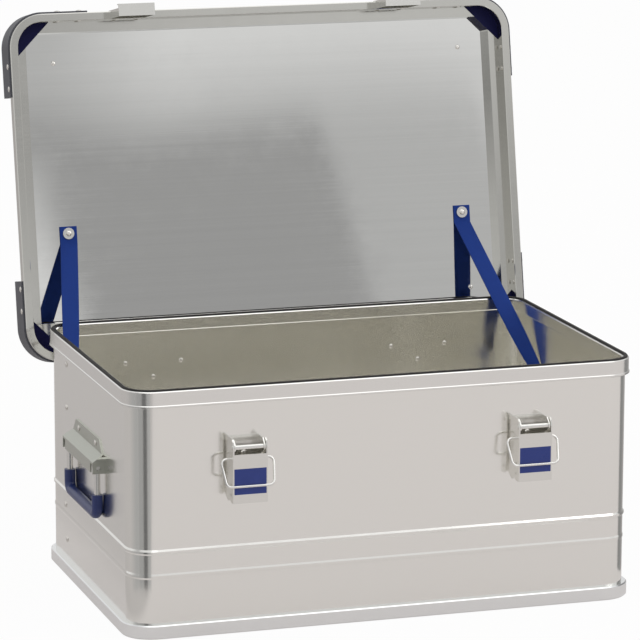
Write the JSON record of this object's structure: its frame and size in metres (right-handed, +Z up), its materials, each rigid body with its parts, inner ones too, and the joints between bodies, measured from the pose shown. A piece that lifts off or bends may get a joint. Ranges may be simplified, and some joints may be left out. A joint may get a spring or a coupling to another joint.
{
  "type": "transport box",
  "caption": "Rectangular sheet-metal transport box with framed rim and base, a hinged framed lid held open by straps, front toggle latches and folding side handles.",
  "frame": {"origin": "middle of the box's underside, where it stands", "axes": "+Z up, front with the latches at -Y, hinges at +Y, right-hand side at +X"},
  "size_m": [0.603, 0.5164, 0.6152],
  "materials": {
    "wall_aluminium": "satin rolled sheet",
    "frame_aluminium": "satin extrusion",
    "lid_aluminium": "bright brushed sheet",
    "seal_rubber": "matt black",
    "hinge_steel": "zinc plated",
    "rivet_aluminium": "plain",
    "latch_steel": "zinc plated",
    "bright_steel": "bright plated",
    "bracket_steel": "zinc plated",
    "insert_plastic": "dark blue moulding",
    "stacking_plastic": "dark grey moulding",
    "inlay_plastic": "blue",
    "grip_plastic": "blue moulded grip",
    "strap_webbing": "woven blue webbing"
  },
  "bodies": {
    "root": {"wall_sheet": "wall_aluminium", "floor_sheet": "wall_aluminium", "rim_frame": "frame_aluminium", "base_rail": "frame_aluminium", "rim_seal": "seal_rubber", "hinge_leaf_left": "hinge_steel", "hinge_leaf_right": "hinge_steel", "hinge_pin_left": "hinge_steel", "hinge_pin_right": "hinge_steel", "hinge_rivets": "rivet_aluminium", "latch_base_left": "latch_steel", "latch_base_right": "latch_steel", "latch_rod_left": "bright_steel", "latch_rod_right": "bright_steel", "latch_base_rivets": "rivet_aluminium", "handle_bracket_left": "bracket_steel", "handle_bracket_right": "bracket_steel", "handle_pin_left": "bright_steel", "handle_pin_right": "bright_steel", "handle_rivets": "rivet_aluminium", "strap_wall_washers": "bright_steel", "strap_wall_rivets": "rivet_aluminium", "wall_seam_rivets": "rivet_aluminium", "strap_left": "strap_webbing", "strap_right": "strap_webbing"},
    "lid": {"lid_sheet": "lid_aluminium", "lid_frame": "frame_aluminium", "lid_insert_front_left": "insert_plastic", "lid_insert_front_right": "insert_plastic", "lid_insert_back_left": "insert_plastic", "lid_insert_back_right": "insert_plastic", "stack_corner_front_left": "stacking_plastic", "stack_corner_front_right": "stacking_plastic", "stack_corner_back_left": "stacking_plastic", "stack_corner_back_right": "stacking_plastic", "stack_corner_rivets": "rivet_aluminium", "lid_leaf_left": "hinge_steel", "lid_leaf_right": "hinge_steel", "lid_leaf_rivets": "rivet_aluminium", "keeper_left": "latch_steel", "keeper_right": "latch_steel", "keeper_rivets": "rivet_aluminium", "strap_lid_washers": "bright_steel", "strap_lid_rivets": "rivet_aluminium"},
    "lever_left": {"latch_lever_left": "latch_steel", "lever_inlay_left": "inlay_plastic"},
    "bail_left": {"latch_bail_left": "bright_steel"},
    "handle_left": {"handle_left": "bright_steel", "grip_left": "grip_plastic"},
    "lever_right": {"latch_lever_right": "latch_steel", "lever_inlay_right": "inlay_plastic"},
    "bail_right": {"latch_bail_right": "bright_steel"},
    "handle_right": {"handle_right": "bright_steel", "grip_right": "grip_plastic"}
  },
  "joints": [
    {"name": "lid_hinge", "type": "hinge", "parent": "root", "child": "lid", "pos_m": [0, 0.1826, 0.2351], "axis": [1, 0, 0], "range_deg": [0, 101], "deforming": ["strap_left", "strap_right"]},
    {"name": "lever_left_pivot", "type": "hinge", "parent": "root", "child": "lever_left", "pos_m": [-0.158, -0.2003, 0.2046], "axis": [1, 0, 0], "range_deg": [-110, 0]},
    {"name": "bail_left_pivot", "type": "hinge", "parent": "lever_left", "child": "bail_left", "pos_m": [-0.158, -0.1936, 0.1912], "axis": [-1, 0, 0], "range_deg": [0, 144.4]},
    {"name": "handle_left_pivot", "type": "hinge", "parent": "root", "child": "handle_left", "pos_m": [-0.2853, 0, 0.1586], "axis": [0, 1, 0], "range_deg": [0, 90]},
    {"name": "lever_right_pivot", "type": "hinge", "parent": "root", "child": "lever_right", "pos_m": [0.158, -0.2003, 0.2046], "axis": [1, 0, 0], "range_deg": [-110, 0]},
    {"name": "bail_right_pivot", "type": "hinge", "parent": "lever_right", "child": "bail_right", "pos_m": [0.158, -0.1936, 0.1912], "axis": [-1, 0, 0], "range_deg": [0, 144.4]},
    {"name": "handle_right_pivot", "type": "hinge", "parent": "root", "child": "handle_right", "pos_m": [0.2853, 0, 0.1586], "axis": [0, -1, 0], "range_deg": [0, 90]}
  ]
}
